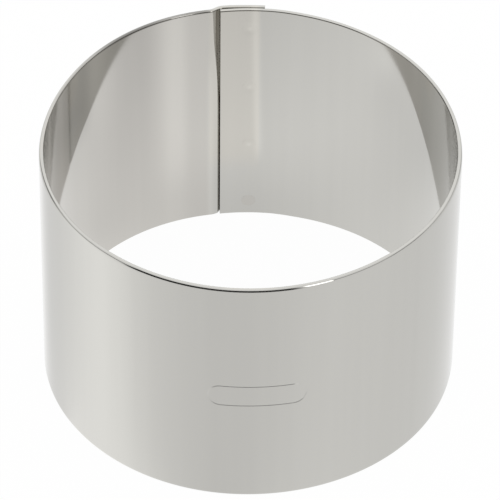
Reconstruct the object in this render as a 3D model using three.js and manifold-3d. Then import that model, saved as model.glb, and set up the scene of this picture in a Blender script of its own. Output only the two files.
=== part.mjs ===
// Pastry ring: one strip of polished stainless sheet, rolled into a straight-sided ring.
// Its outer end is joggled, set outwards by an S-bend, so that it laps over the inner end,
// and a row of spot welds down the lap holds the ring closed. Both rims are plain, rounded cuts.
// Millimetres, +Z up. The ring stands on Z = 0 with its axis through the origin,
// and the middle of the lap lies on +Y.
import * as THREE from "three";
import { mergeVertices } from "three/addons/utils/BufferGeometryUtils.js";
import Module from "manifold-3d";

const wasm = await Module();
wasm.setup();

// The rolled strip
const OUTER_DIAMETER = 90;
const HEIGHT = 60;
const SHEET = 1;
const EDGE_ROUNDING = 0.2;

// The lap: how far the ends overlap, and the gap between the two layers at the welds
const LAP = 9.7;
const LAP_GAP = 0.1;

// The joggle: its length along the strip, how much wider than at the welds the lap gapes beside it,
// and how far it stays from the cut edge of the inner end
const JOGGLE_LENGTH = 2.8;
const JOGGLE_GAPE = 0.32;
const SEAM_GAP = 0.4;

// The spot welds: a row parallel to the axis, set in from the cut end of the outer layer
const WELD_COUNT = 4;
const WELD_FROM_TAIL_END = 3.2;
const BOTTOM_WELD_HEIGHT = 3.8;
const TOP_WELD_DROP = 5.5;
const NUGGET_DIAMETER = 4;
const MARK_DIAMETER = 3.2;
const MARK_DEPTH = 0.08;
const NUGGET_CLEARANCE = 0.1;

// Fineness of the facets
const ROLL_STEPS = 96;
const JOGGLE_STEPS = 12;
const TAIL_STEPS = 6;
const EDGE_STEPS = 2;
const NUGGET_SIDES = 24;
const NUGGET_STEPS = 4;

// The strip's plan, measured on its middle line. Angles run anticlockwise from +X,
// and the strip runs clockwise, from its inner end round to the end of its tail.
const OUTER_RADIUS = OUTER_DIAMETER / 2;
const INNER_RADIUS = OUTER_RADIUS - SHEET;
const MIDDLE_RADIUS = OUTER_RADIUS - SHEET / 2;
const LAP_ANGLE = LAP / MIDDLE_RADIUS;
const INNER_END = (Math.PI + LAP_ANGLE) / 2;
const STRIP_ANGLE = 2 * Math.PI + LAP_ANGLE;
const TAIL_END = INNER_END - STRIP_ANGLE;
const WELD_LINE = TAIL_END + WELD_FROM_TAIL_END / MIDDLE_RADIUS;

// The lift of the outer layer over the inner one, at the welds and where the joggle ends
const WELD_LIFT = SHEET + LAP_GAP;
const JOGGLE_LIFT = WELD_LIFT + JOGGLE_GAPE;

// The share of the joggle in which it climbs as far as the lift at the welds
const JOGGLE_CLIMB = Math.acos(1 - (2 * WELD_LIFT) / JOGGLE_LIFT) / Math.PI;
const JOGGLE_START = TAIL_END + (LAP + SEAM_GAP + JOGGLE_CLIMB * JOGGLE_LENGTH) / MIDDLE_RADIUS;
const JOGGLE_END = JOGGLE_START - JOGGLE_LENGTH / MIDDLE_RADIUS;

// An S-shaped climb from 0 to 1 as angle goes from start down to end, level before and after it.
function climb(angle, start, end) {
  const share = THREE.MathUtils.clamp((start - angle) / (start - end), 0, 1);
  return (1 - Math.cos(Math.PI * share)) / 2;
}

// The strip's middle line seen from above: a circle, the joggle, and the tail, which closes in
// on the inner layer as far as the weld line.
class StripLine extends THREE.Curve {
  getPoint(share, target = new THREE.Vector2()) {
    const angle = INNER_END - share * STRIP_ANGLE;
    const rise = JOGGLE_LIFT * climb(angle, JOGGLE_START, JOGGLE_END);
    const fall = JOGGLE_GAPE * climb(angle, JOGGLE_END, WELD_LINE);
    const radius = MIDDLE_RADIUS + rise - fall;
    return target.set(radius * Math.cos(angle), radius * Math.sin(angle));
  }
}

// The angles at which the outline has corners: few on the roll, and closer on the joggle and tail.
function stripAngles() {
  const stretches = [
    [INNER_END, JOGGLE_START, ROLL_STEPS],
    [JOGGLE_START, JOGGLE_END, JOGGLE_STEPS],
    [JOGGLE_END, WELD_LINE, TAIL_STEPS],
    [WELD_LINE, TAIL_END, TAIL_STEPS],
  ];
  const angles = [INNER_END];
  for (const [start, end, steps] of stretches) {
    for (let step = 1; step <= steps; step++) {
      angles.push(THREE.MathUtils.lerp(start, end, step / steps));
    }
  }
  return angles;
}

// The strip's outline seen from above: out along its outer face and back along its inner face.
function stripOutline() {
  const line = new StripLine();
  const outerFace = [];
  const innerFace = [];
  for (const angle of stripAngles()) {
    const share = (INNER_END - angle) / STRIP_ANGLE;
    const middle = line.getPoint(share);
    const along = line.getTangent(share);
    const outwards = new THREE.Vector2(-along.y, along.x);
    outerFace.push(middle.clone().addScaledVector(outwards, SHEET / 2));
    innerFace.unshift(middle.clone().addScaledVector(outwards, -SHEET / 2));
  }
  return new THREE.Shape([...outerFace, ...innerFace]);
}

// The bare strip, standing on its lower rim, with both rims rounded over.
function rolledStrip() {
  const geometry = new THREE.ExtrudeGeometry(stripOutline(), {
    depth: HEIGHT - 2 * EDGE_ROUNDING,
    bevelEnabled: true,
    bevelThickness: EDGE_ROUNDING,
    bevelSize: EDGE_ROUNDING,
    bevelOffset: -EDGE_ROUNDING,
    bevelSegments: EDGE_STEPS,
  });
  return geometry.translate(0, 0, EDGE_ROUNDING);
}

// A barrel on the weld's own axis, which points outwards through the lap. Its waist lies between
// the layers. The growth widens it all round, and the overrun lengthens both of its ends.
function barrel(growth, overrun) {
  const waist = NUGGET_DIAMETER / 2 + growth;
  const end = MARK_DIAMETER / 2 + growth;
  const half = SHEET + LAP_GAP / 2 - MARK_DEPTH;
  const side = new THREE.QuadraticBezierCurve(
    new THREE.Vector2(end, -half),
    new THREE.Vector2(2 * waist - end, 0),
    new THREE.Vector2(end, half),
  );
  const reach = half + overrun;
  const profile = [new THREE.Vector2(0, -reach)];
  if (overrun > 0) {
    profile.push(new THREE.Vector2(end, -reach));
  }
  profile.push(...side.getPoints(NUGGET_STEPS));
  if (overrun > 0) {
    profile.push(new THREE.Vector2(end, reach));
  }
  profile.push(new THREE.Vector2(0, reach));
  return new THREE.LatheGeometry(profile, NUGGET_SIDES);
}

// Turns a barrel's axis outwards through the weld line and sets its waist between the layers.
function atWeld(geometry, height) {
  const waistRadius = OUTER_RADIUS + LAP_GAP / 2;
  return geometry
    .rotateZ(-Math.PI / 2)
    .translate(waistRadius, 0, 0)
    .rotateZ(WELD_LINE)
    .translate(0, 0, height);
}

// The heights of the welds, evenly spaced between the lowest and the highest one.
function weldHeights() {
  const top = HEIGHT - TOP_WELD_DROP;
  const gaps = Math.max(WELD_COUNT - 1, 1);
  return Array.from({ length: WELD_COUNT }, (_, index) =>
    THREE.MathUtils.lerp(BOTTOM_WELD_HEIGHT, top, index / gaps),
  );
}

// A closed geometry as a solid for joining and cutting.
function solidOf(geometry) {
  geometry.deleteAttribute("normal");
  geometry.deleteAttribute("uv");
  const merged = mergeVertices(geometry);
  return new wasm.Manifold(
    new wasm.Mesh({
      numProp: 3,
      vertProperties: merged.getAttribute("position").array,
      triVerts: new Uint32Array(merged.index.array),
    }),
  );
}

// A solid as a geometry with flat facets.
function geometryOf(solid) {
  const { vertProperties, triVerts } = solid.getMesh();
  const geometry = new THREE.BufferGeometry();
  geometry.setAttribute("position", new THREE.BufferAttribute(vertProperties, 3));
  geometry.setIndex(new THREE.BufferAttribute(triVerts, 1));
  const flat = geometry.toNonIndexed();
  flat.computeVertexNormals();
  return flat;
}

function namedMesh(name, geometry, material) {
  const mesh = new THREE.Mesh(geometry, material);
  mesh.name = name;
  return mesh;
}

const polishedSteel = new THREE.MeshStandardMaterial({
  name: "polished_steel",
  color: 0xc9c7c2,
  metalness: 1,
  roughness: 0.12,
});
const weldedSteel = new THREE.MeshStandardMaterial({
  name: "welded_steel",
  color: 0xb3aca2,
  metalness: 1,
  roughness: 0.35,
});

const ring = new THREE.Group();
ring.name = "pastry_ring";

// The strip has a seat through both of its layers for each nugget.
let strip = solidOf(rolledStrip());
for (const height of weldHeights()) {
  strip = strip.subtract(solidOf(atWeld(barrel(NUGGET_CLEARANCE, SHEET), height)));
}
ring.add(namedMesh("band", geometryOf(strip), polishedSteel));

for (const [index, height] of weldHeights().entries()) {
  const nugget = atWeld(barrel(0, 0), height);
  ring.add(namedMesh(`spot_weld_${index + 1}`, nugget, weldedSteel));
}

export default ring;
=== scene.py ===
"""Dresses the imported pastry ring: a joggled, rolled and spot-welded strip of bright stainless sheet.

The strip is made as the workshop makes it. A flat blank is joggled at one end, rolled into a ring,
given its thickness, dished at the welds, stamped and rounded along every cut. Pieces are shaped on
the bench in millimetres and leave it in metres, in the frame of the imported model.
"""

import logging
import math
from collections.abc import Callable, Mapping, Sequence
from dataclasses import dataclass, field
from enum import Enum
from typing import Any

import bpy
from mathutils import Matrix, Vector


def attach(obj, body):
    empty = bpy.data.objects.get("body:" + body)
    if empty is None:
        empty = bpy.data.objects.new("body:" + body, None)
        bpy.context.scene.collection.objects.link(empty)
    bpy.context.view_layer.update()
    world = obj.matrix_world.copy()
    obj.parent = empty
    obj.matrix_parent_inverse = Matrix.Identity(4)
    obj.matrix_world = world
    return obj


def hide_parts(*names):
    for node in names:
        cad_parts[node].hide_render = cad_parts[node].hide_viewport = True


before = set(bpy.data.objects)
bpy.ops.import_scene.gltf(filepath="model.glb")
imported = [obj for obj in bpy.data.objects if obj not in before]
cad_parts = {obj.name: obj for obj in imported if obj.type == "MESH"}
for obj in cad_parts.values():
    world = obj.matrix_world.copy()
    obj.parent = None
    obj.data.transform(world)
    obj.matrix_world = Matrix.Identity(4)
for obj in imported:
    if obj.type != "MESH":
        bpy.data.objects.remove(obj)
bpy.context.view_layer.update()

MM = 0.001
BODY = "root"
LOG = logging.getLogger("pastry_ring")


def smooth(share: float) -> float:
    """Eases a share from 0 to 1 along half a cosine wave, level before and after."""
    return (1 - math.cos(math.pi * min(max(share, 0.0), 1.0))) / 2


def direction(azimuth: float, elevation: float = 0.0) -> Vector:
    """Turns two angles into a unit vector.

    Args:
        azimuth: The angle from +X, in degrees.
        elevation: The angle above the level, in degrees.

    Returns:
        The unit vector.
    """
    turn, lift = math.radians(azimuth), math.radians(elevation)
    return Vector(
        (
            math.cos(turn) * math.cos(lift),
            math.sin(turn) * math.cos(lift),
            math.sin(lift),
        )
    )


class PressWay(Enum):
    """The way in which a press moves the sheet."""

    ACROSS_BLANK = "Y"
    ALONG_NORMAL = "NORMAL"


class RayKind(Enum):
    """The kinds of ray that the studio's surfaces tell apart."""

    CAMERA = "Is Camera Ray"
    GLOSSY = "Is Glossy Ray"
    TRANSMISSION = "Is Transmission Ray"


class Wire:
    """A shader socket on which Python's operators add Math nodes."""

    def __init__(self, graph: "Graph", socket: bpy.types.NodeSocket) -> None:
        """Wraps an output socket of a graph."""
        self.graph = graph
        self.socket = socket

    def maths(self, operation: str, *values: "Wire | float") -> "Wire":
        """Adds one Math node.

        Args:
            operation: The node's operation.
            values: Its inputs in order.

        Returns:
            The node's result.
        """
        return self.graph.node("ShaderNodeMath", {"operation": operation}, dict(enumerate(values)))

    def vector_maths(self, operation: str, *values: Any, output: str = "Vector") -> "Wire":
        """Adds one Vector Math node.

        Args:
            operation: The node's operation.
            values: Its vector inputs in order.
            output: The name of the output that is wanted.

        Returns:
            That output.
        """
        settings = {"operation": operation}
        return self.graph.node("ShaderNodeVectorMath", settings, dict(enumerate(values)), output)

    def __add__(self, other: "Wire | float") -> "Wire":
        """Adds a value."""
        return self.maths("ADD", self, other)

    def __radd__(self, other: float) -> "Wire":
        """Adds this to a number."""
        return self.maths("ADD", other, self)

    def __sub__(self, other: "Wire | float") -> "Wire":
        """Subtracts a value."""
        return self.maths("SUBTRACT", self, other)

    def __rsub__(self, other: float) -> "Wire":
        """Subtracts this from a number."""
        return self.maths("SUBTRACT", other, self)

    def __mul__(self, other: "Wire | float") -> "Wire":
        """Multiplies by a value."""
        return self.maths("MULTIPLY", self, other)

    def __rmul__(self, other: float) -> "Wire":
        """Multiplies a number by this."""
        return self.maths("MULTIPLY", other, self)

    def __truediv__(self, other: "Wire | float") -> "Wire":
        """Divides by a value."""
        return self.maths("DIVIDE", self, other)

    def exp(self) -> "Wire":
        """Raises e to this value."""
        return self.maths("EXPONENT", self)

    def bell(self) -> "Wire":
        """Gives a bell curve of this value, with its top, 1, at 0 and its steepest fall at 1."""
        return (self * self * -0.5).exp()

    def at_least(self, other: "Wire | float") -> "Wire":
        """Takes the larger of this and another value."""
        return self.maths("MAXIMUM", self, other)

    def ramp(self, low: float, high: float, start: float = 0.0, end: float = 1.0) -> "Wire":
        """Eases from start to end while this goes from low to high.

        Args:
            low: Where the change begins.
            high: Where it ends, above low.
            start: The result below low.
            end: The result above high.

        Returns:
            The eased value.
        """
        return self.graph.node(
            "ShaderNodeMapRange",
            {"interpolation_type": "SMOOTHSTEP"},
            {"Value": self, "From Min": low, "From Max": high, "To Min": start, "To Max": end},
        )

    def hill(self, first: float, full: float, still: float, last: float) -> "Wire":
        """Gives 0 up to first, 1 from full to still and 0 from last on, with eased slopes."""
        return self.ramp(first, full) * (1 - self.ramp(still, last))

    def part(self, axis: str) -> "Wire":
        """Takes one component of a vector, named X, Y or Z."""
        return self.graph.node("ShaderNodeSeparateXYZ", {}, {0: self}, axis)

    def scaled(self, factors: Sequence[float]) -> "Wire":
        """Multiplies a vector by factors, axis by axis."""
        return self.vector_maths("MULTIPLY", self, factors)

    def away_from(self, point: Sequence[float]) -> "Wire":
        """Gives the vector from a point to this one."""
        return self.vector_maths("SUBTRACT", self, point)

    def unit(self) -> "Wire":
        """Gives this vector at length 1."""
        return self.vector_maths("NORMALIZE", self)

    def length(self) -> "Wire":
        """Gives the length of this vector."""
        return self.vector_maths("LENGTH", self, output="Value")

    def times(self, factor: "Wire") -> "Wire":
        """Multiplies a vector or a colour by a value."""
        sockets = {0: self, "Scale": factor}
        return self.graph.node("ShaderNodeVectorMath", {"operation": "SCALE"}, sockets)

    def dot(self, other: Sequence[float]) -> "Wire":
        """Gives the dot product with a fixed vector."""
        return self.vector_maths("DOT_PRODUCT", self, other, output="Value")


class Graph:
    """A node tree that is filled from Python expressions."""

    def __init__(self, tree: bpy.types.NodeTree) -> None:
        """Empties a tree and takes it up."""
        self.tree = tree
        tree.nodes.clear()

    def node(
        self,
        kind: str,
        settings: Mapping[str, Any] | None = None,
        sockets: Mapping[str | int, Any] | None = None,
        output: str | int = 0,
    ) -> Wire:
        """Adds a node.

        Args:
            kind: The node's type.
            settings: Its properties, which are set first.
            sockets: The value or wire of each input that isn't left as it is.
            output: The output that is wanted.

        Returns:
            That output.
        """
        made = self.tree.nodes.new(kind)
        for key, value in (settings or {}).items():
            setattr(made, key, value)
        for key, value in (sockets or {}).items():
            if isinstance(value, Wire):
                self.tree.links.new(value.socket, made.inputs[key])
            else:
                made.inputs[key].default_value = value
        return Wire(self, made.outputs[output])

    def close(self, kind: str, surface: Wire) -> None:
        """Adds the output node of this kind and links the surface to it."""
        made = self.tree.nodes.new(kind)
        self.tree.links.new(surface.socket, made.inputs["Surface"])

    def coordinates(self, output: str = "Object") -> Wire:
        """Gives the texture coordinates of one sort."""
        return self.node("ShaderNodeTexCoord", output=output)

    def ray(self, kind: RayKind) -> Wire:
        """Gives 1 for rays of one kind and 0 for others."""
        return self.node("ShaderNodeLightPath", output=kind.value)

    def noise(self, place: Wire, scale: float, detail: float) -> Wire:
        """Gives a noise from 0 to 1 at a place, with this many grains to the metre."""
        sockets = {"Vector": place, "Scale": scale, "Detail": detail}
        return self.node("ShaderNodeTexNoise", {}, sockets, "Fac")

    def mix(self, share: Wire, first: Any, second: Any) -> Wire:
        """Mixes two colours.

        Args:
            share: The share of the second colour.
            first: A colour or a wire.
            second: A colour or a wire.

        Returns:
            The mixed colour.
        """
        # A Mix node's inputs 6 and 7 and its output 2 are the ones for colours.
        return self.node("ShaderNodeMix", {"data_type": "RGBA"}, {0: share, 6: first, 7: second}, 2)

    def grey(self, value: Wire) -> Wire:
        """Makes a neutral colour of a value."""
        return self.node("ShaderNodeCombineColor", {}, {"Red": value, "Green": value, "Blue": value})


def new_material(name: str) -> tuple[bpy.types.Material, Graph]:
    """Makes a material and its empty graph.

    Args:
        name: The material's name.

    Returns:
        The material, and the graph in which its nodes are placed.
    """
    made = bpy.data.materials.new(name)
    made.use_nodes = True
    return made, Graph(made.node_tree)


class Workpiece:
    """A mesh on the bench, in millimetres, that Blender's operators shape.

    A hair is a length that is too short to matter.
    """

    hair: float = 1e-3

    def __init__(self, name: str) -> None:
        """Takes up the primitive that an operator has just added.

        Args:
            name: The name that the object and its mesh are given.
        """
        self.body: bpy.types.Object = bpy.context.active_object
        self.body.name = name
        self.body.data.name = name

    @staticmethod
    def clear_bench() -> None:
        """Deselects everything."""
        bpy.ops.object.select_all(action="DESELECT")

    @property
    def mesh(self) -> bpy.types.Mesh:
        """The piece's mesh."""
        return self.body.data

    def hold(self) -> None:
        """Leaves this piece alone selected and active."""
        self.clear_bench()
        self.body.select_set(True)
        bpy.context.view_layer.objects.active = self.body

    def open(self, faces: bool = False) -> None:
        """Opens the mesh for editing with nothing picked.

        Args:
            faces: Whether faces are picked next, and not edges.
        """
        self.hold()
        bpy.context.tool_settings.mesh_select_mode = (False, not faces, faces)
        bpy.ops.object.mode_set(mode="EDIT")
        bpy.ops.mesh.select_all(action="DESELECT")

    def close(self) -> None:
        """Ends the editing of the mesh."""
        bpy.ops.object.mode_set(mode="OBJECT")

    def pick_faces(self, test: Callable[[bpy.types.MeshPolygon], bool]) -> None:
        """Opens the mesh with some of its faces picked.

        Args:
            test: Tells whether a face is picked.
        """
        self.open(faces=True)
        self.close()
        for face in self.mesh.polygons:
            face.select = test(face)
        bpy.ops.object.mode_set(mode="EDIT")

    def pick_edges(self, test: Callable[[Vector, Vector], bool]) -> None:
        """Opens the mesh with some of its edges picked.

        Args:
            test: Tells from an edge's two ends whether it is picked.
        """
        self.open()
        self.close()
        points = self.mesh.vertices
        for edge in self.mesh.edges:
            first, second = edge.vertices
            edge.select = test(points[first].co, points[second].co)
        bpy.ops.object.mode_set(mode="EDIT")

    def cut(self, place: Vector, normal: Vector) -> None:
        """Cuts a line through the whole mesh where a plane meets it.

        Args:
            place: A point of the plane.
            normal: The plane's normal.
        """
        self.open(faces=True)
        bpy.ops.mesh.select_all(action="SELECT")
        bpy.ops.mesh.bisect(plane_co=place, plane_no=normal, threshold=self.hair)
        self.close()

    def refine(self, test: Callable[[bpy.types.MeshPolygon], bool], cuts: int) -> None:
        """Divides some of the faces finely.

        Args:
            test: Tells whether a face is divided.
            cuts: The number of cuts on each of its sides.
        """
        self.pick_faces(test)
        bpy.ops.mesh.subdivide(number_cuts=cuts)
        self.close()

    def finish_with(self, kind: str, **settings: Any) -> None:
        """Adds a modifier and applies it.

        Args:
            kind: The modifier's type.
            settings: The modifier's properties.
        """
        modifier = self.body.modifiers.new(kind.lower(), kind)
        for key, value in settings.items():
            setattr(modifier, key, value)
        self.hold()
        bpy.ops.object.modifier_apply(modifier=modifier.name)

    def press(self, way: PressWay, stroke: float, share: Callable[[Vector], float]) -> None:
        """Moves the mesh by a stroke that is weighted point by point.

        Args:
            way: The way in which the points move.
            stroke: How far a point of full weight moves.
            share: Gives a point's weight, from 0 to 1.
        """
        self.weigh("press", share)
        self.finish_with(
            "DISPLACE", vertex_group="press", direction=way.value, mid_level=0.0, strength=stroke
        )
        self.body.vertex_groups.remove(self.body.vertex_groups["press"])

    def draw_in(self, share_of_radius: float, share: Callable[[Vector], float]) -> None:
        """Draws the mesh in towards the Z axis.

        Args:
            share_of_radius: How far a point of full weight moves, as a share of its radius.
            share: Gives a point's weight, from 0 to 1.
        """
        self.weigh("draw", share)
        self.finish_with(
            "CAST",
            cast_type="CYLINDER",
            factor=share_of_radius,
            size=self.hair,
            use_radius_as_size=False,
            use_z=False,
            vertex_group="draw",
        )
        self.body.vertex_groups.remove(self.body.vertex_groups["draw"])

    def mark(self, name: str, test: Callable[[bpy.types.MeshVertex], bool]) -> None:
        """Writes an attribute for a material.

        Args:
            name: The attribute's name.
            test: Tells whether the attribute is 1 at a point, and not 0.
        """
        layer = self.mesh.attributes.new(name, "FLOAT", "POINT")
        for vertex in self.mesh.vertices:
            layer.data[vertex.index].value = float(test(vertex))

    def weigh(self, name: str, share: Callable[[Vector], float]) -> None:
        """Makes a vertex group.

        Args:
            name: The group's name.
            share: Gives a point's weight, from 0 to 1.
        """
        group = self.body.vertex_groups.new(name=name)
        for vertex in self.mesh.vertices:
            weight = share(vertex.co)
            if weight > 0:
                group.add([vertex.index], weight, "REPLACE")

    def roll(self, radius: float) -> None:
        """Rolls what lies flat along X round the Z axis, with X = 0 at the front, on -Y.

        Args:
            radius: The radius at which lengths stay as they are.
        """
        along = [vertex.co.x for vertex in self.mesh.vertices]
        angle = (max(along) - min(along)) / radius
        self.finish_with("SIMPLE_DEFORM", deform_method="BEND", deform_axis="Z", angle=angle)
        self.move(Vector((0, -radius, 0)))

    def settle(self) -> None:
        """Puts the object's place, turn and scale into its mesh."""
        self.hold()
        bpy.ops.object.transform_apply(location=True, rotation=True, scale=True)

    def move(self, offset: Vector) -> None:
        """Moves the mesh."""
        self.body.location = offset
        self.settle()

    def deliver(self) -> None:
        """Turns the millimetres of the bench into metres."""
        self.body.scale = (MM, MM, MM)
        self.settle()


@dataclass(frozen=True)
class StripPlan:
    """Sizes of the strip in millimetres. Angles run from +X, and the strip runs clockwise."""

    outer_diameter: float = 90.0
    height: float = 60.0
    sheet: float = 1.0
    lap: float = 9.7
    lap_gap: float = 0.04
    weld_count: int = 4
    weld_from_tail_end: float = 3.2
    bottom_weld_height: float = 3.8
    top_weld_drop: float = 5.5

    @property
    def middle_radius(self) -> float:
        """Radius of the middle of the sheet."""
        return (self.outer_diameter - self.sheet) / 2

    @property
    def strip_angle(self) -> float:
        """Angle that the strip takes round the ring, lap included."""
        return 2 * math.pi + self.lap / self.middle_radius

    @property
    def tail_end(self) -> float:
        """Angle of the cut end of the outer layer."""
        return -math.pi / 2 - self.strip_angle / 2

    @property
    def seam(self) -> float:
        """Angle on the tail that lies over the cut edge of the inner end."""
        return self.tail_end + self.lap / self.middle_radius

    @property
    def weld_line(self) -> float:
        """Angle of the row of welds."""
        return self.tail_end + self.weld_from_tail_end / self.middle_radius

    @property
    def weld_lift(self) -> float:
        """How far the outer layer stands out over the inner one at the welds."""
        return self.sheet + self.lap_gap

    @property
    def weld_heights(self) -> list[float]:
        """Heights of the welds, from the lowest up."""
        top = self.height - self.top_weld_drop
        step = (top - self.bottom_weld_height) / (self.weld_count - 1)
        return [self.bottom_weld_height + step * index for index in range(self.weld_count)]

    def along(self, angle: float) -> float:
        """Place of an angle on the flat blank, whose middle comes to the front."""
        return self.middle_radius * (angle + math.pi / 2)

    def angle_at(self, along: float) -> float:
        """Angle round the ring of a place on the flat blank."""
        return along / self.middle_radius - math.pi / 2


@dataclass(frozen=True)
class Joggle:
    """The S-bend that sets the tail outwards, in millimetres, with bend radii of the sheet's middle.

    It starts as a gentle curve, tightens to its steepest just before the cut edge of the inner end,
    and turns back behind it. Towards the top rim it starts tighter, climbs less steeply, turns back
    in a wider curve and gapes more. Each pair gives the value below and the value at the top.
    """

    plan: StripPlan
    gentle_radius: tuple[float, float] = (3.6, 2.0)
    gentle_turn: float = math.radians(24)
    tight_radius: float = 0.35
    steepest: tuple[float, float] = (math.radians(72), math.radians(32))
    back_radius: tuple[float, float] = (0.6, 2.6)
    gape: tuple[float, float] = (0.05, 0.14)
    clearance: tuple[float, float] = (0.0, 0.06)
    opens_from: float = 27.0
    opens_to: float = 55.0

    def at(self, pair: tuple[float, float], height: float) -> float:
        """Value of a pair at a height."""
        share = smooth((height - self.opens_from) / (self.opens_to - self.opens_from))
        return pair[0] + (pair[1] - pair[0]) * share

    def full_lift(self, height: float) -> float:
        """Lift at the end of the S-bend at a height."""
        return self.plan.weld_lift + self.at(self.gape, height)

    def bends(self, height: float) -> list[tuple[float, float]]:
        """Gives the corners between the S-bend's arcs.

        Args:
            height: The height above the lower rim.

        Returns:
            Distance along and lift where the gentle curve, the tight one, the straight and the
            turn back end.
        """
        radius, steepest = self.at(self.gentle_radius, height), self.at(self.steepest, height)
        sine, cosine = math.sin(self.gentle_turn), math.cos(self.gentle_turn)
        steep_sine, steep_cosine = math.sin(steepest), math.cos(steepest)
        gentle = (radius * sine, radius * (1 - cosine))
        tight = (
            gentle[0] + self.tight_radius * (steep_sine - sine),
            gentle[1] + self.tight_radius * (cosine - steep_cosine),
        )
        top, back = self.full_lift(height), self.at(self.back_radius, height)
        straight_top = top - back * (1 - steep_cosine)
        straight = (
            tight[0] + (straight_top - tight[1]) * steep_cosine / steep_sine,
            straight_top,
        )
        return [gentle, tight, straight, (straight[0] + back * steep_sine, top)]

    def climb(self, along: float, height: float) -> float:
        """Gives the lift at a distance into the S-bend.

        Args:
            along: The distance from where the S-bend starts.
            height: The height above the lower rim.

        Returns:
            The lift, which is level after the S-bend.
        """
        gentle, tight, straight, end = self.bends(height)
        radius, steepest = self.at(self.gentle_radius, height), self.at(self.steepest, height)
        if along <= 0:
            return 0.0
        if along < gentle[0]:
            return radius - math.sqrt(radius**2 - along**2)
        if along < tight[0]:
            sine = math.sin(self.gentle_turn) + (along - gentle[0]) / self.tight_radius
            fall = math.cos(self.gentle_turn) - math.sqrt(1 - sine**2)
            return gentle[1] + self.tight_radius * fall
        if along < straight[0]:
            return tight[1] + (along - tight[0]) * math.tan(steepest)
        if along < end[0]:
            back = self.at(self.back_radius, height)
            sine = (end[0] - along) / back
            return end[1] - back * (1 - math.sqrt(1 - sine**2))
        return end[1]

    def start(self, height: float) -> float:
        """Gives the angle at which the S-bend starts, so that its straight just clears the inner end.

        Args:
            height: The height above the lower rim.

        Returns:
            The angle on the strip.
        """
        tight = self.bends(height)[1]
        steepest, half = self.at(self.steepest, height), self.plan.sheet / 2
        lift = half * (1 + math.cos(steepest)) + self.at(self.clearance, height)
        reach = tight[0] + (lift - tight[1]) / math.tan(steepest) + half * math.sin(steepest)
        return self.plan.seam + reach / self.plan.middle_radius

    def rise(self, angle: float, height: float) -> float:
        """Share of the S-bend's full lift at an angle on the strip and a height."""
        into = (self.start(height) - angle) * self.plan.middle_radius
        return self.climb(into, height) / self.full_lift(height)

    def lift(self, angle: float, height: float) -> float:
        """Gives how far the tail is set out at a place.

        Args:
            angle: The angle on the strip.
            height: The height above the lower rim.

        Returns:
            The lift over the plain roll.
        """
        plan = self.plan
        rise = self.rise(angle, height) * self.full_lift(height)
        level = self.start(height) - self.bends(height)[-1][0] / plan.middle_radius
        fall = smooth((level - angle) / (level - plan.weld_line))
        return rise - fall * (self.full_lift(height) - plan.weld_lift)

    @property
    def most_lift(self) -> float:
        """The largest lift, at the top rim."""
        return self.plan.weld_lift + max(self.gape)


@dataclass(frozen=True)
class Wave:
    """A wave round the ring: its number of crests, its height and the angle of a crest from +X."""

    count: int
    height: float
    crest: float

    def at(self, angle: float) -> float:
        """Height of the wave at an angle in radians."""
        return self.height * math.cos(self.count * (angle - math.radians(self.crest)))


@dataclass(frozen=True)
class Springback:
    """How far the rolled sheet springs out of round, as waves in millimetres.

    Some waves are the same all the way up, and others go from one way at the lower rim to the
    opposite way at the top rim. The ring is true at the lap, which the welds hold. The S-bend takes
    the spring up on one side. On the other it fades in between two angles from the lap's middle.
    """

    plan: StripPlan
    joggle: Joggle
    upright: tuple[Wave, ...] = (
        Wave(0, -0.035, 0.0),
        Wave(2, 0.097, 84.2),
        Wave(3, 0.139, -12.3),
        Wave(4, 0.109, 33.2),
        Wave(5, 0.097, -27.2),
    )
    leaning: tuple[Wave, ...] = (
        Wave(2, 0.075, -55.5),
        Wave(3, 0.076, -19.6),
        Wave(4, 0.040, 3.6),
        Wave(5, 0.011, -23.3),
    )
    fade: tuple[float, float] = (7.0, 18.0)

    def offset(self, angle: float, height: float) -> float:
        """Gives how far the sheet stands out of the true round at a place.

        Args:
            angle: The angle on the strip.
            height: The height above the lower rim.

        Returns:
            The distance outwards.
        """
        lean = 2 * height / self.plan.height - 1
        wave = sum(wave.at(angle) for wave in self.upright)
        wave += lean * sum(wave.at(angle) for wave in self.leaning)
        held, free = (math.radians(limit) for limit in self.fade)
        faded = smooth((math.pi / 2 - angle - held) / (free - held))
        return wave * faded * (1 - self.joggle.rise(angle, height))

    def spring(self, piece: Workpiece) -> None:
        """Sets the flat strip out of true, first outwards and then inwards.

        Args:
            piece: The strip on the bench.
        """
        most = sum(abs(wave.height) for wave in (*self.upright, *self.leaning))
        for way in (1, -1):
            piece.press(
                PressWay.ACROSS_BLANK,
                -way * most,
                lambda place, way=way: (
                    way * self.offset(self.plan.angle_at(place.x), place.z) / most
                ),
            )


@dataclass(frozen=True)
class EdgeRounding:
    """Roundings of the sheet's cuts, in millimetres: across it from each face, and along it."""

    outer: float = 0.4
    outer_down: float = 0.8
    inner: float = 0.2
    inner_down: float = 0.3
    end: float = 0.05
    steps: int = 8

    def lines(self, reach: float) -> list[float]:
        """Distances from a cut at which a rounding of this reach is divided."""
        quarter = math.pi / 2
        return [reach * (1 - math.cos(quarter * step / self.steps)) for step in range(1, self.steps + 1)]

    @staticmethod
    def share(distance: float, reach: float) -> float:
        """Share of the full rounding at a distance from a cut."""
        level = min(max(1 - distance / reach, 0.0), 1.0)
        return 1 - math.sqrt(1 - level**2)

    def outer_cut(self, distance: float) -> float:
        """How much is gone from the outer face at a distance from a rim."""
        return self.outer * self.share(distance, self.outer_down)

    def inner_cut(self, distance: float) -> float:
        """How much is gone from the inner face at a distance from a rim."""
        return self.inner * self.share(distance, self.inner_down)

    def end_cut(self, distance: float) -> float:
        """How much is gone from each face at a distance from a cut end."""
        return self.end * self.share(distance, self.end)


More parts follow.
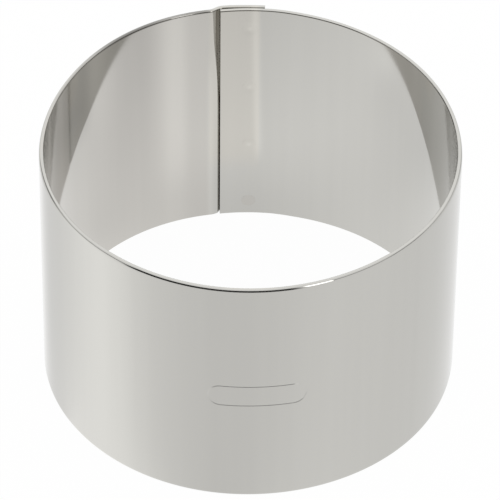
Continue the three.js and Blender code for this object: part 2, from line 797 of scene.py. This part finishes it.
@dataclass(frozen=True)
class WeldDish:
    """The shallow dish that an electrode leaves in the face of the sheet, in millimetres."""

    depth: float = 0.06
    radius: float = 2.4

    def share(self, distance: float) -> float:
        """Share of the full depth at a distance from the weld's axis."""
        return smooth(1 - distance / self.radius)


@dataclass(frozen=True)
class BlankStamp:
    """A plain obround line stamped into the front, with nothing in it, in millimetres."""

    width: float = 20.8
    height: float = 5.5
    centre_height: float = 29.6
    line: float = 0.34
    depth: float = 0.075

    def distance(self, along: float, height: float) -> float:
        """Gives the distance of a place on the sheet from the stamped line.

        Args:
            along: The distance round the ring from the middle of the stamp.
            height: The height above the lower rim.

        Returns:
            The distance from the middle of the line.
        """
        straight = (self.width - self.height) / 2
        past = max(abs(along) - straight, 0.0)
        return abs(math.hypot(past, height - self.centre_height) - self.height / 2)

    def share(self, along: float, height: float) -> float:
        """Share of the full depth at a place on the sheet."""
        return smooth(1 - self.distance(along, height) / (self.line / 2))


@dataclass(frozen=True)
class PolishedSteel:
    """Bright rolled stainless sheet, with faint streaks up it, and tints and painted light and shade
    inside.

    Inside the ring the lap has a faint heat tint with painted lightening, the start of the S-bend and
    a stripe beside the welds have painted highlights, and the wall has a painted sheen, painted shades
    and a warmer left side. The top rim has painted shade to the left of the seam. Heights and places
    are in millimetres, and angles in degrees from +X.
    """

    name: str = "polished_steel"
    inside: str = "inside"
    colour: tuple[float, float, float] = (0.480, 0.4735, 0.449)
    roughness: float = 0.06
    blur_turn: float = 0.25
    haze: float = 0.02
    haze_grain: float = 60.0
    haze_detail: float = 3.0
    streak: float = 0.02
    streak_grain: float = 420.0
    streak_detail: float = 4.0
    streak_stretch: float = 0.02
    # The lap's tint is a heat tint that also carries painted lightening.
    lap_tint: tuple[float, float, float] = (1.038, 1.021, 0.997)
    lap_reach: tuple[float, float, float, float] = (-7.7, -6.9, 3.4, 4.2)
    lap_tint_foot: tuple[float, float] = (12.0, 19.0)
    # Painted highlights: a stripe beside the welds and one at the start of the S-bend.
    highlight_stripe: float = 0.12
    highlight_stripe_place: float = 4.08
    highlight_stripe_lean: float = -0.02
    highlight_stripe_width: float = 0.65
    highlight_stripe_foot: tuple[float, float] = (14.0, 22.0)
    bend_highlight: float = 0.08
    bend_place: float = -6.9
    bend_width: float = 0.5
    bend_top: tuple[float, float] = (38.0, 50.0)
    # Painted sheen and painted shades on the inner wall, and painted lightening on its right.
    sheen: tuple[float, float] = (0.05, 0.11)
    sheen_heights: tuple[float, float] = (6.0, 20.0)
    sheen_angles: tuple[float, float, float, float] = (104.2, 108.2, 109.2, 118.0)
    shade: tuple[float, float] = (-0.05, 0.2)
    shade_heights: tuple[float, float] = (-10.0, 58.0)
    shade_angles: tuple[float, float, float, float] = (109.0, 121.0, 124.0, 138.5)
    warm_tint: tuple[float, float, float] = (1.012, 0.997, 0.990)
    warm_angles: tuple[float, float] = (98.0, 101.0)
    left_shade: tuple[float, float] = (-0.03, 0.2)
    left_heights: tuple[float, float] = (35.0, 50.0)
    left_angles: tuple[float, float, float, float] = (137.0, 144.0, 156.0, 164.0)
    right_painted_light: float = 0.03
    right_angles: tuple[float, float, float, float] = (38.0, 56.0, 74.0, 88.0)
    # Painted shade on the top rim to the left of the seam.
    rim_shade: float = 0.42
    rim_heights: tuple[float, float] = (59.4, 59.8)
    rim_angles: tuple[float, float, float, float] = (97.0, 101.0, 126.0, 150.0)

    def material(self) -> bpy.types.Material:
        """Makes the material.

        Returns:
            The finished material.
        """
        made, graph = new_material(self.name)
        place = graph.coordinates()
        drawn = place.scaled((1, 1, self.streak_stretch))
        grain = graph.noise(drawn, self.streak_grain, self.streak_detail)
        streaks = grain * (2 * self.streak) - self.streak
        inside = graph.node("ShaderNodeAttribute", {"attribute_name": self.inside}, output="Fac")
        cloud = graph.noise(place, self.haze_grain, self.haze_detail)
        sockets = {
            "Base Color": self.tinted_and_painted_colour(graph, place, inside).times(1 + streaks),
            "Roughness": self.roughness + self.haze * (cloud - 0.5),
            "Metallic": 1.0,
            "Anisotropic": 1.0,
            "Anisotropic Rotation": self.blur_turn,
        }
        shader = graph.node("ShaderNodeBsdfPrincipled", {}, sockets)
        graph.close("ShaderNodeOutputMaterial", shader)
        return made

    def tinted_and_painted_colour(self, graph: Graph, place: Wire, inside: Wire | float) -> Wire:
        """Gives the steel's colour with its tints, painted highlights, painted sheen and painted shades.

        Args:
            graph: The material's graph.
            place: The place, in metres.
            inside: 1 inside the ring and 0 outside.

        Returns:
            The colour.
        """
        left = self.angle(place).ramp(*self.warm_angles)
        warm = graph.mix(left * inside, (*self.colour, 1), self.tinted(self.warm_tint))
        base = graph.mix(self.lap_tint_share(place) * inside, warm, self.tinted(self.lap_tint))
        # Painted shade on the top rim, to the left of the seam.
        rim = (place.part("Z") / MM).ramp(*self.rim_heights)
        painted_rim_shade = self.angle(place).hill(*self.rim_angles) * rim * self.rim_shade
        # The painted highlights, sheen and shades inside the ring, and the painted rim shade, scale the
        # colour.
        return base.times((self.painted_highlights(place) + self.rolled(place)) * inside - painted_rim_shade + 1)

    def tinted(self, tint: Sequence[float]) -> tuple[float, ...]:
        """The steel's colour with a tint."""
        return (*(part * gain for part, gain in zip(self.colour, tint, strict=True)), 1.0)

    @staticmethod
    def angle(place: Wire) -> Wire:
        """Angle of a place round the ring, in degrees from +X."""
        return place.maths("ARCTAN2", place.part("Y"), place.part("X")) * math.degrees(1.0)

    def lap_tint_share(self, place: Wire) -> Wire:
        """Share of the lap's heat tint, with its painted lightening, at a place inside the ring."""
        across = (place.part("X") / MM).hill(*self.lap_reach)
        return across * (place.part("Z") / MM).ramp(*self.lap_tint_foot)

    def painted_highlights(self, place: Wire) -> Wire:
        """Gives the gain of the painted highlight stripes inside the ring, beside the welds and at the
        S-bend.

        Args:
            place: The place, in metres.

        Returns:
            What the stripes add to the steel's brightness.
        """
        across, height = place.part("X") / MM, place.part("Z") / MM
        behind = place.part("Y").maths("GREATER_THAN", place.part("Y"), 0.0)
        beside = (across - height * self.highlight_stripe_lean - self.highlight_stripe_place) / self.highlight_stripe_width
        stripe = beside.bell() * height.ramp(*self.highlight_stripe_foot) * self.highlight_stripe
        before = (across - self.bend_place) / self.bend_width
        bend = before.bell() * height.ramp(*self.bend_top, 1.0, 0.0) * self.bend_highlight
        return behind * (stripe + bend)

    def rolled(self, place: Wire) -> Wire:
        """Gives the gain of the painted sheen, the painted shades and the painted lightening on the
        right of the wall inside the ring.

        Args:
            place: The place, in metres.

        Returns:
            What they add to the steel's brightness.
        """
        angle, height = self.angle(place), place.part("Z") / MM
        sheen = angle.hill(*self.sheen_angles) * height.ramp(*self.sheen_heights, *self.sheen)
        shade = angle.hill(*self.shade_angles) * height.ramp(*self.shade_heights, *self.shade)
        left = angle.hill(*self.left_angles) * height.ramp(*self.left_heights, *self.left_shade)
        return sheen - shade - left + angle.hill(*self.right_angles) * self.right_painted_light


@dataclass(frozen=True)
class WeldMarkSteel:
    """The face of a weld: the strip's steel with a fine grain and a painted highlight in the middle.

    The lowest weld has a tint of its own.
    """

    plan: StripPlan
    steel: PolishedSteel
    name: str = "weld_mark"
    tint: tuple[float, float, float] = (0.468, 0.456, 0.428)
    tint_heights: tuple[float, float] = (6.0, 10.0)
    middle_highlight: float = 0.08
    middle_highlight_radius: float = 0.4
    roughness: float = 0.05
    haze: float = 0.03
    haze_grain: float = 2600.0
    haze_detail: float = 3.0

    def material(self) -> bpy.types.Material:
        """Makes the material.

        Returns:
            The finished material.
        """
        made, graph = new_material(self.name)
        place = graph.coordinates()
        grain = graph.noise(place, self.haze_grain, self.haze_detail)
        low = (place.part("Z") / MM).ramp(*self.tint_heights, 1.0, 0.0)
        base = graph.mix(low, self.steel.tinted_and_painted_colour(graph, place, 1.0), (*self.tint, 1))
        sockets = {
            # A painted highlight in the middle of each weld but the lowest.
            "Base Color": base.times(self.middle(place) * (1 - low) * self.middle_highlight + 1),
            "Roughness": self.roughness + self.haze * (grain - 0.5),
            "Metallic": 1.0,
        }
        shader = graph.node("ShaderNodeBsdfPrincipled", {}, sockets)
        graph.close("ShaderNodeOutputMaterial", shader)
        return made

    def middle(self, place: Wire) -> Wire:
        """Gives the share of the painted highlight in the middle of a weld at a place.

        Args:
            place: The place, in metres.

        Returns:
            1 on the axis of a weld, fading out around it.
        """
        heights = self.plan.weld_heights
        step = heights[1] - heights[0]
        across = place.part("X") / MM - self.plan.middle_radius * math.cos(self.plan.weld_line)
        above = place.part("Z") / MM - heights[0] + step / 2
        up = place.maths("FLOORED_MODULO", above, step) - step / 2
        return (across / self.middle_highlight_radius).bell() * (up / self.middle_highlight_radius).bell()


@dataclass
class RolledBand:
    """The strip itself, from flat blank to rounded ring."""

    plan: StripPlan
    joggle: Joggle
    springback: Springback
    rounding: EdgeRounding
    dish: WeldDish
    stamp: BlankStamp
    finish: PolishedSteel
    columns: int = 360
    rows: int = 40
    joggle_cuts: int = 72
    joggle_run: float = 2.2
    weld_margin: float = 0.6
    weld_cuts: int = 3
    stamp_margins: tuple[float, float] = (0.93, 0.26)
    stamp_cuts: tuple[int, int] = (3, 4)
    trim: float = 0.01

    def build(self) -> bpy.types.Object:
        """Makes the band.

        Returns:
            The finished object, in metres.
        """
        band = self.cut_blank()
        self.refine_weld_places(band)
        self.refine_stamp_place(band)
        self.thin_cuts(band)
        self.set_tail_out(band)
        self.springback.spring(band)
        band.roll(self.plan.middle_radius)
        band.finish_with(
            "SOLIDIFY",
            thickness=self.plan.sheet - self.trim,
            offset=0.0,
            use_even_offset=True,
            use_quality_normals=True,
            vertex_group="thickness",
        )
        self.draw_rims_in(band)
        self.dish_welds(band)
        self.stamp_front(band)
        band.mark(self.finish.inside, lambda point: point.normal.xy.dot(point.co.xy) < 0)
        band.hold()
        bpy.ops.object.shade_smooth()
        band.deliver()
        return band.body

    def cut_blank(self) -> Workpiece:
        """Cuts the flat blank, standing in the XZ plane with its outer face to the front.

        Returns:
            The blank on the bench.
        """
        plan = self.plan
        Workpiece.clear_bench()
        bpy.ops.mesh.primitive_grid_add(
            x_subdivisions=self.columns,
            y_subdivisions=self.rows,
            size=1,
            location=(0, 0, plan.height / 2),
            rotation=(math.pi / 2, 0, 0),
        )
        blank = Workpiece("rolled_band")
        blank.body.scale = (plan.strip_angle * plan.middle_radius, plan.height, 1)
        blank.settle()
        for line in self.rounding.lines(self.rounding.outer_down):
            for height in (line, plan.height - line):
                blank.cut(Vector((0, 0, height)), Vector((0, 0, 1)))
        half = plan.strip_angle * plan.middle_radius / 2
        for line in self.rounding.lines(self.rounding.end):
            for along in (line - half, half - line):
                blank.cut(Vector((along, 0, 0)), Vector((1, 0, 0)))
        first = plan.along(plan.seam) - self.joggle_run
        last = plan.along(max(self.joggle.start(height) for height in (0, plan.height)))
        for step in range(self.joggle_cuts + 1):
            along = first + (last - first) * step / self.joggle_cuts
            blank.cut(Vector((along, 0, 0)), Vector((1, 0, 0)))
        return blank

    def thin_cuts(self, band: Workpiece) -> None:
        """Weighs the thickness on the blank, so that its cuts come out rounded.

        Args:
            band: The strip on the bench.
        """
        plan, rounding = self.plan, self.rounding
        half = plan.strip_angle * plan.middle_radius / 2

        def thickness(place: Vector) -> float:
            """Gives the share of the sheet's thickness that is left.

            Args:
                place: The place on the blank.

            Returns:
                The share, from 0 to 1.
            """
            rim = self.rim_distance(place)
            rim_cuts = rounding.outer_cut(rim) + rounding.inner_cut(rim)
            end_cuts = 2 * rounding.end_cut(half - abs(place.x))
            return 1 - max(rim_cuts, end_cuts) / plan.sheet

        band.weigh("thickness", thickness)

    def rim_distance(self, place: Vector) -> float:
        """Distance of a point from the nearer rim."""
        return max(min(place.z, self.plan.height - place.z), 0.0)

    def draw_rims_in(self, band: Workpiece) -> None:
        """Draws the rims inwards, so that they are rounded more outside than inside.

        Args:
            band: The strip on the bench.
        """
        rounding = self.rounding
        most = (rounding.outer - rounding.inner) / 2

        def share(place: Vector) -> float:
            """Share of the inward draw at a point of the sheet."""
            rim = self.rim_distance(place)
            return (rounding.outer_cut(rim) - rounding.inner_cut(rim)) / 2 / most

        band.draw_in(most / self.plan.middle_radius, share)

    def refine_weld_places(self, band: Workpiece) -> None:
        """Divides the blank finely where the welds dish it, on both layers of the lap.

        Args:
            band: The strip on the bench.
        """
        plan = self.plan
        layers = [plan.along(plan.weld_line), plan.along(plan.weld_line + 2 * math.pi)]
        reach = self.dish.radius + self.weld_margin

        def near_weld(face: bpy.types.MeshPolygon) -> bool:
            """Tells whether a face lies at a weld.

            Args:
                face: The face of the flat blank.

            Returns:
                Whether its middle is within reach of a weld's middle.
            """
            place = face.center
            return any(
                math.hypot(place.x - along, place.z - height) < reach
                for along in layers
                for height in plan.weld_heights
            )

        band.refine(near_weld, self.weld_cuts)

    def refine_stamp_place(self, band: Workpiece) -> None:
        """Divides the blank finely along the stamped line, in two passes.

        Args:
            band: The strip on the bench.
        """
        for margin, cuts in zip(self.stamp_margins, self.stamp_cuts, strict=True):
            reach = self.stamp.line / 2 + margin
            band.refine(
                lambda face, reach=reach: self.stamp.distance(face.center.x, face.center.z) < reach,
                cuts,
            )

    def set_tail_out(self, band: Workpiece) -> None:
        """Sets the tail outwards by the S-bend.

        Args:
            band: The strip on the bench.
        """
        most = self.joggle.most_lift
        band.press(
            PressWay.ACROSS_BLANK,
            -most,
            lambda place: self.joggle.lift(self.plan.angle_at(place.x), place.z) / most,
        )

    def dish_welds(self, band: Workpiece) -> None:
        """Dishes the inner face of the inner layer and the outer face of the tail at each weld.

        Args:
            band: The strip on the bench.
        """
        plan = self.plan
        axis = Vector((math.cos(plan.weld_line), math.sin(plan.weld_line)))
        tail_face = plan.middle_radius + plan.weld_lift

        def share(place: Vector) -> float:
            """Gives the share of the dish's depth.

            Args:
                place: The point of the sheet.

            Returns:
                The share, which is 0 on the faces between the layers.
            """
            across = place.xy
            if plan.middle_radius < across.length < tail_face or across.dot(axis) < 0:
                return 0.0
            along = plan.middle_radius * axis.angle_signed(across)
            return max(
                self.dish.share(math.hypot(along, place.z - height)) for height in plan.weld_heights
            )

        band.press(PressWay.ALONG_NORMAL, -self.dish.depth, share)

    def stamp_front(self, band: Workpiece) -> None:
        """Stamps the blank line into the outer face at the front.

        Args:
            band: The strip on the bench.
        """
        plan = self.plan

        def share(place: Vector) -> float:
            """Gives the share of the stamp's depth.

            Args:
                place: The point of the sheet.

            Returns:
                The share, which is 0 on the inner face.
            """
            if place.y > 0 or place.xy.length < plan.middle_radius:
                return 0.0
            along = plan.middle_radius * math.atan2(place.x, -place.y)
            return self.stamp.share(along, place.z)

        band.press(PressWay.ALONG_NORMAL, -self.stamp.depth, share)

    def dress(self, piece: bpy.types.Object) -> None:
        """Gives the band its finish and its place in the frame.

        Args:
            piece: The finished band.
        """
        piece.data.materials.clear()
        piece.data.materials.append(self.finish.material())
        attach(piece, BODY)
        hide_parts("band")


@dataclass
class SpotWeldRow:
    """The row of weld nuggets through both layers of the lap."""

    plan: StripPlan
    dish: WeldDish
    finish: WeldMarkSteel
    mark_radius: float = 1.6
    waist_radius: float = 2.0
    proud: float = 0.006
    sides: int = 48
    rings: int = 4
    waist_cuts: int = 3
    crease: float = 40.0

    def build(self) -> list[bpy.types.Object]:
        """Makes one nugget and copies it up the row.

        Returns:
            The nuggets, from the lowest up, in metres.
        """
        nugget = self.forge()
        heights = self.plan.weld_heights
        made = [nugget]
        for _ in heights[1:]:
            nugget.hold()
            bpy.ops.object.duplicate(linked=False)
            made.append(Workpiece("weld_nugget"))
        for index, (piece, height) in enumerate(zip(made, heights, strict=True)):
            piece.body.name = f"weld_nugget_{index + 1}"
            piece.mesh.name = piece.body.name
            piece.move(Vector((0, 0, height)))
            piece.deliver()
        return [piece.body for piece in made]

    def forge(self) -> Workpiece:
        """Shapes a nugget in the lap of the flat strip, at height 0, and rolls it with the strip.

        Returns:
            The nugget on the bench.
        """
        plan = self.plan
        sunk = self.dish.depth * self.dish.share(self.mark_radius) - self.proud
        inner = plan.sheet / 2 - sunk
        outer = -plan.weld_lift - plan.sheet / 2 + sunk
        along = plan.along(plan.weld_line + 2 * math.pi)
        Workpiece.clear_bench()
        bpy.ops.mesh.primitive_cylinder_add(
            vertices=self.sides,
            radius=self.mark_radius,
            depth=inner - outer,
            end_fill_type="NGON",
            location=(along, (inner + outer) / 2, 0),
            rotation=(math.pi / 2, 0, 0),
        )
        nugget = Workpiece("weld_nugget")
        nugget.settle()
        self.swell_waist(nugget, Vector((along, inner, 0)), Vector((along, outer, 0)))
        for end in (1, -1):
            self.dish_end(nugget, end)
        nugget.roll(plan.middle_radius)
        nugget.hold()
        bpy.ops.object.shade_smooth_by_angle(angle=math.radians(self.crease))
        return nugget

    def swell_waist(self, nugget: Workpiece, inner: Vector, outer: Vector) -> None:
        """Swells the nugget into a barrel.

        Args:
            nugget: The nugget on the bench.
            inner: The middle of its end inside the ring.
            outer: The middle of its other end.
        """
        nugget.pick_edges(lambda first, second: abs(first.y - second.y) > Workpiece.hair)
        bpy.ops.mesh.subdivide(number_cuts=self.waist_cuts)
        nugget.close()
        growth = self.waist_radius / self.mark_radius - 1
        for step in range(1, self.waist_cuts + 1):
            share = step / (self.waist_cuts + 1)
            middle = outer.lerp(inner, share)
            nugget.pick_edges(
                lambda first, second, level=middle.y: (
                    abs(first.y + second.y - 2 * level) < Workpiece.hair
                )
            )
            size = 1 + growth * (1 - (2 * share - 1) ** 2)
            bpy.ops.transform.resize(value=(size, 1, size), center_override=middle)
            nugget.close()

    def dish_end(self, nugget: Workpiece, end: int) -> None:
        """Dishes one end of the nugget, inwards ring by ring.

        Args:
            nugget: The nugget on the bench.
            end: 1 for the end inside the ring and -1 for the one outside.
        """
        nugget.pick_faces(lambda face: face.normal.y * end > 1 - Workpiece.hair)
        step = self.mark_radius / self.rings
        depths = [
            self.dish.depth * self.dish.share(step * ring) for ring in range(self.rings, -1, -1)
        ]
        for shallow, deep in zip(depths[:-2], depths[1:-1], strict=True):
            bpy.ops.mesh.inset(thickness=step, depth=shallow - deep)
        bpy.ops.mesh.poke(offset=depths[-2] - depths[-1])
        nugget.close()

    def dress(self, pieces: list[bpy.types.Object]) -> None:
        """Gives the nuggets their finish and their places in the frame.

        Args:
            pieces: The finished nuggets, from the lowest up.
        """
        material = self.finish.material()
        for index, piece in enumerate(pieces):
            piece.data.materials.clear()
            piece.data.materials.append(material)
            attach(piece, BODY)
            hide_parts(f"spot_weld_{index + 1}")


@dataclass(frozen=True)
class LightPool:
    """A patch of the floor, lighter or darker, that fans out from an apex in millimetres.

    Its heading, from +X, and its spread are in degrees.
    """

    strength: float
    heading: float
    spread: float
    apex: tuple[float, float]

    def tone(self, place: Wire, turn: float) -> Wire:
        """Gives the pool's tone at a place on the floor.

        Args:
            place: The place, in metres.
            turn: The turn of the studio round the ring, in degrees.

        Returns:
            What the pool adds to the floor's tone.
        """
        apex = Matrix.Rotation(math.radians(turn), 4, "Z") @ Vector((*self.apex, 0.0)) * MM
        facing = place.away_from(apex).unit().dot(direction(self.heading + turn))
        sharpness = 1 / math.radians(self.spread) ** 2
        return ((facing - 1) * sharpness).exp() * self.strength


@dataclass(frozen=True)
class FloorLightSpot:
    """A soft spot of painted light on the floor inside the ring, in millimetres: a painted shadow where
    its strength is below 0 and a painted glow where it is above.
    """

    strength: float
    place: tuple[float, float]
    size: tuple[float, float]

    def tone(self, place: Wire, turn: float) -> Wire:
        """Gives the spot's tone at a place on the floor.

        Args:
            place: The place, in metres.
            turn: The turn of the studio round the ring, in degrees.

        Returns:
            What the spot adds to the floor's tone.
        """
        middle = Matrix.Rotation(math.radians(turn), 4, "Z") @ Vector((*self.place, 0.0)) * MM
        across, along = (1 / (size * MM) for size in self.size)
        away = place.away_from(middle).scaled((across, along, 0)).length()
        return away.bell() * self.strength


@dataclass(frozen=True)
class DarkScreen:
    """A dark part of the surroundings, from the floor up, with its share of darkness.

    Its heading, half width, top and side edge are in degrees, and its top edge is a share of the way up.
    """

    heading: float
    half_width: float
    top: float
    depth: float = 1.0
    edge: float = 4.0
    top_edge: float = 0.06

    def sector(self, way: Wire, turn: float) -> Wire:
        """Gives 1 for ways that head towards the screen and 0 for others.

        Args:
            way: The way from the ring.
            turn: The turn of the studio round the ring, in degrees.

        Returns:
            The share of the screen's sector.
        """
        facing = way.scaled((1, 1, 0)).unit().dot(direction(self.heading + turn))
        limits = (math.radians(self.half_width + soft) for soft in (self.edge, -self.edge))
        return facing.ramp(*(math.cos(limit) for limit in limits))

    def share(self, way: Wire, turn: float) -> Wire:
        """Gives the share of darkness in a way.

        Args:
            way: The way from the ring, of length 1.
            turn: The turn of the studio round the ring, in degrees.

        Returns:
            The share, from 0 to the screen's depth.
        """
        top = math.sin(math.radians(self.top))
        below = way.part("Z").ramp(top - self.top_edge, top + self.top_edge, self.depth, 0.0)
        return self.sector(way, turn) * below


@dataclass
class Studio:
    """The pale floor, the soft surroundings and the lamp, turned a little to face the camera.

    The floor and the lamp are placed in metres, and what lies within the ring in millimetres.
    """

    turn: float = -2.52
    mirror_bounces: int = 32
    floor_size: float = 12.0
    floor_level: float = -0.00002
    floor_white: float = 0.95
    floor_tone: float = 1.2
    shadow_share: float = 0.025
    ring_radius: float = 44.5
    inside_tone: float = 1.157
    inside_fall: float = 0.003
    inside_crest: float = 18.0
    # Painted shadows at the foot of the back wall and further in, and a painted glow, on the floor
    # inside the ring.
    light_spots: list[FloorLightSpot] = field(
        default_factory=lambda: [
            FloorLightSpot(-0.14, (0.0, 44.6), (16.0, 11.0)),
            FloorLightSpot(-0.06, (-23.0, 28.0), (8.0, 8.0)),
            FloorLightSpot(0.1, (-37.5, 25.0), (6.0, 6.0)),
        ]
    )
    pools: list[LightPool] = field(
        default_factory=lambda: [
            LightPool(0.25, 181.0, 14.5, (-1.0, -33.0)),
            LightPool(-0.17, -98.0, 40.0, (-3.0, -33.0)),
            LightPool(-0.35, 95.0, 34.0, (-37.0, -23.7)),
            LightPool(0.18, 107.0, 8.0, (-37.0, -23.7)),
            LightPool(-0.16, 39.0, 40.0, (11.0, -31.0)),
        ]
    )
    side_tone: float = 1.1
    back_gain: float = 0.25
    back_height: float = 43.0
    back_width: float = 40.0
    horizon_edge: float = 0.02
    dark_tone: float = 0.03
    front: DarkScreen = DarkScreen(-107.0, 41.0, 31.0)
    sides: list[DarkScreen] = field(
        default_factory=lambda: [
            DarkScreen(-25.0, 28.0, 23.5, 0.5),
            DarkScreen(14.0, 34.0, 11.0, 0.8),
            DarkScreen(182.0, 40.0, 13.0),
            DarkScreen(147.0, 10.0, 40.0),
        ]
    )
    dark_floor: tuple[float, float] = (200.0, 260.0)
    lamp_heading: float = -56.5
    lamp_height: float = 15.0
    lamp_distance: float = 1.2
    lamp_size: tuple[float, float] = (0.26, 0.6)
    lamp_tone: float = 2.4

    @property
    def back_heading(self) -> float:
        """Heading of the back of the studio, in degrees from +X."""
        return 90 + self.turn

    def build(self) -> None:
        """Makes the floor, the surroundings and the lamp."""
        self.lay_floor()
        self.hang_surroundings()
        self.set_lamp()
        bpy.context.scene.view_settings.view_transform = "Standard"
        bpy.context.scene.cycles.max_bounces = self.mirror_bounces
        bpy.context.scene.cycles.glossy_bounces = self.mirror_bounces

    def lay_floor(self) -> None:
        """Lays the floor, which shows white, mirrors with its pools and keeps a faint shadow."""
        Workpiece.clear_bench()
        bpy.ops.mesh.primitive_plane_add(size=self.floor_size)
        floor = Workpiece("studio_floor")
        floor.move(Vector((0, 0, self.floor_level)))
        made, graph = new_material("studio_floor")
        place = graph.coordinates()
        radius = place.scaled((1, 1, 0)).length()
        # Inside the ring the mirrored floor has painted shade: darker towards the front, plus each
        # painted light spot.
        towards = self.inside_crest - place.dot(direction(self.back_heading)) / MM
        inside = self.inside_tone - towards.at_least(0.0) * self.inside_fall
        inside = inside + sum(spot.tone(place, self.turn) for spot in self.light_spots)
        outside = self.floor_tone + sum(pool.tone(place, self.turn) for pool in self.pools)
        far = radius.ramp(*(reach * MM for reach in self.dark_floor))
        dark = far * self.front.sector(place, self.turn)
        outside = outside + dark * (self.dark_tone - outside)
        enclosed = radius.maths("LESS_THAN", radius, self.ring_radius * MM)
        mirrored = outside + enclosed * (inside - outside)
        camera = graph.ray(RayKind.CAMERA)
        white = graph.grey(mirrored + camera * (1 - mirrored))
        seen = (camera * (1 - self.shadow_share)).at_least(graph.ray(RayKind.GLOSSY))
        seen = seen.at_least(graph.ray(RayKind.TRANSMISSION))
        chalk = (self.floor_white, self.floor_white, self.floor_white, 1)
        matt = graph.node("ShaderNodeBsdfDiffuse", {}, {"Color": chalk})
        glow = graph.node("ShaderNodeEmission", {}, {"Color": white, "Strength": 1.0})
        graph.close(
            "ShaderNodeOutputMaterial",
            graph.node("ShaderNodeMixShader", {}, {0: seen, 1: matt, 2: glow}),
        )
        floor.mesh.materials.append(made)

    def hang_surroundings(self) -> None:
        """Hangs white all round for the camera, and a lit back and dark screens for the steel."""
        world = bpy.data.worlds.new("studio")
        world.use_nodes = True
        bpy.context.scene.world = world
        graph = Graph(world.node_tree)
        way = graph.coordinates("Generated")
        back = way.dot(direction(self.back_heading, self.back_height))
        lit = ((back - 1) / math.radians(self.back_width) ** 2).exp() * self.back_gain
        tone = self.side_tone + lit
        for screen in (*self.sides, self.front):
            tone = tone + screen.share(way, self.turn) * (self.dark_tone - tone)
        below = way.part("Z").ramp(-self.horizon_edge, self.horizon_edge, 1.0, 0.0)
        tone = tone + below * (self.floor_tone - tone)
        mirrored = graph.ray(RayKind.GLOSSY).at_least(graph.ray(RayKind.TRANSMISSION))
        colour = graph.grey(1 + mirrored * (tone - 1))
        sockets = {"Color": colour, "Strength": 1.0}
        graph.close("ShaderNodeOutputWorld", graph.node("ShaderNodeBackground", {}, sockets))

    def set_lamp(self) -> None:
        """Sets the soft lamp at the front right, above the rim."""
        Workpiece.clear_bench()
        place = direction(self.lamp_heading + self.turn, self.lamp_height) * self.lamp_distance
        bpy.ops.object.light_add(type="AREA", location=place)
        lamp = bpy.context.active_object
        lamp.name = "soft_lamp"
        lamp.rotation_euler = place.to_track_quat("Z", "Y").to_euler()
        lamp.data.shape = "RECTANGLE"
        lamp.data.size, lamp.data.size_y = self.lamp_size
        lamp.data.energy = self.lamp_tone * math.pi * self.lamp_size[0] * self.lamp_size[1]


@dataclass(frozen=True)
class Viewpoint:
    """The camera's place, in millimetres, and the way it looks, in degrees."""

    place: tuple[float, float, float] = (-35.94, -816.76, 793.0)
    heading: float = 87.469
    pitch: float = 43.039
    roll: float = 0.5217
    focal_pixels: float = 5186.0
    picture_pixels: float = 500.0
    sensor: float = 36.0

    def build(self) -> None:
        """Sets the camera up."""
        data = bpy.data.cameras.new("camera")
        data.sensor_width = self.sensor
        data.lens = self.focal_pixels * self.sensor / self.picture_pixels
        camera = bpy.data.objects.new("camera", data)
        bpy.context.scene.collection.objects.link(camera)
        camera.matrix_world = (
            Matrix.Translation(Vector(self.place) * MM)
            @ Matrix.Rotation(math.radians(self.heading - 90), 4, "Z")
            @ Matrix.Rotation(math.radians(90 - self.pitch), 4, "X")
            @ Matrix.Rotation(math.radians(self.roll), 4, "Z")
        )
        bpy.context.scene.camera = camera


def report(piece: bpy.types.Object) -> None:
    """Logs a piece's name and its number of triangles."""
    piece.data.calc_loop_triangles()
    LOG.info("%s: %d triangles", piece.name, len(piece.data.loop_triangles))


def main() -> None:
    """Builds the camera, the studio and the ring's pieces in order."""
    logging.basicConfig(level=logging.INFO, format="%(name)s %(message)s")
    Viewpoint().build()
    Studio().build()
    plan, dish, steel = StripPlan(), WeldDish(), PolishedSteel()
    joggle = Joggle(plan)
    spring = Springback(plan, joggle)
    band = RolledBand(plan, joggle, spring, EdgeRounding(), dish, BlankStamp(), steel)
    strip = band.build()
    band.dress(strip)
    report(strip)
    welds = SpotWeldRow(plan, dish, WeldMarkSteel(plan, steel))
    nuggets = welds.build()
    welds.dress(nuggets)
    for nugget in nuggets:
        report(nugget)


if __name__ == "__main__":
    main()
